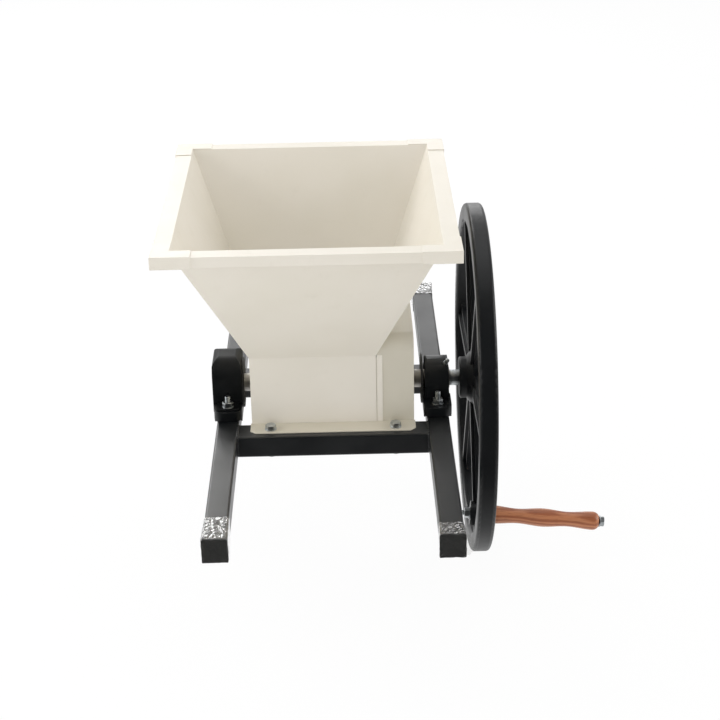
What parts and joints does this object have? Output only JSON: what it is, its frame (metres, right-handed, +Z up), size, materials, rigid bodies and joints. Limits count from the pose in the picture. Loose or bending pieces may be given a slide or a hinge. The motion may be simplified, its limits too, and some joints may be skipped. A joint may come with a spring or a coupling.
{
  "type": "fruit crusher",
  "caption": "Hand-cranked fruit crusher: cream hopper over a toothed drum and fixed comb, set across two black rails, with a large flywheel and a turned wooden handle.",
  "frame": {"origin": "under the shaft, midway between the rails, on the plane of the rails' undersides", "axes": "+X along the shaft towards the flywheel, +Y along the rails to the rear, +Z up"},
  "size_m": [0.5882, 0.794, 0.518],
  "materials": {
    "black_paint": "satin black enamel",
    "cap_plastic": "moulded black",
    "cream_coat": "semi-gloss cream powder coat",
    "bare_steel": "machined, oiled",
    "bearing_steel": "ground",
    "zinc_plate": "zinc plated",
    "black_oxide": "black oxide",
    "seal_black": "matt black",
    "guard_plastic": "smooth black",
    "cast_paint": "gloss black enamel over casting",
    "turned_wood": "clear varnish"
  },
  "bodies": {
    "frame": {"rail_left": "black_paint", "rail_right": "black_paint", "cross_tube_front": "black_paint", "cross_tube_rear": "black_paint", "rail_end_caps": "cap_plastic", "housing_front_plate": "cream_coat", "housing_rear_plate": "cream_coat", "housing_side_left": "cream_coat", "housing_side_right": "cream_coat", "chamber_cover": "cream_coat", "hopper_front_panel": "cream_coat", "hopper_rear_panel": "cream_coat", "hopper_left_wall": "cream_coat", "hopper_right_wall": "cream_coat", "throat_edge_strips": "cream_coat", "rim_corner_caps": "cream_coat", "feed_deflector": "cream_coat", "breaker_comb": "bare_steel", "bearing_outer_rings": "bearing_steel", "comb_screws": "zinc_plate", "housing_bolts": "zinc_plate", "housing_washers": "zinc_plate", "housing_nuts": "zinc_plate", "grease_nipples": "zinc_plate", "block_bolts": "zinc_plate", "block_washers": "zinc_plate", "block_nuts": "zinc_plate", "bearing_shields": "seal_black", "bearing_guard": "guard_plastic", "bearing_block_left": "cast_paint", "bearing_block_right": "cast_paint"},
    "rotor": {"shaft": "bare_steel", "drum_tube": "bare_steel", "drum_end_discs": "bare_steel", "drum_pins": "zinc_plate", "blade_bars": "zinc_plate", "slinger_discs": "seal_black", "bearing_inner_rings": "bearing_steel", "bearing_set_screws": "black_oxide", "hub_spacer": "zinc_plate", "flywheel": "cast_paint", "flywheel_key": "zinc_plate", "hub_end_washer": "zinc_plate", "hub_end_bolt": "zinc_plate", "handle_bolt": "zinc_plate", "handle_nut": "zinc_plate", "handle_washers": "zinc_plate"},
    "ball_set_left": {"bearing_balls_left": "bearing_steel", "bearing_cage_left": "seal_black"},
    "ball_set_right": {"bearing_balls_right": "bearing_steel", "bearing_cage_right": "seal_black"},
    "grip": {"handle_grip": "turned_wood"}
  },
  "joints": [
    {"name": "crank_turn", "type": "hinge", "parent": "frame", "child": "rotor", "pos_m": [0, 0, 0.0602], "axis": [1, 0, 0], "continuous": true},
    {"name": "ball_orbit_left", "type": "hinge", "parent": "frame", "child": "ball_set_left", "pos_m": [-0.144, 0, 0.0602], "axis": [1, 0, 0], "continuous": true},
    {"name": "ball_orbit_right", "type": "hinge", "parent": "frame", "child": "ball_set_right", "pos_m": [0.144, 0, 0.0602], "axis": [1, 0, 0], "continuous": true},
    {"name": "grip_spin", "type": "hinge", "parent": "rotor", "child": "grip", "pos_m": [0.1985, -0.095, -0.10434], "axis": [0.9962, -0.0436, -0.0755], "continuous": true}
  ],
  "couplings": [
    {"joint": "ball_orbit_left", "follows": "crank_turn", "ratio": 0.3806},
    {"joint": "ball_orbit_right", "follows": "crank_turn", "ratio": 0.3806}
  ]
}
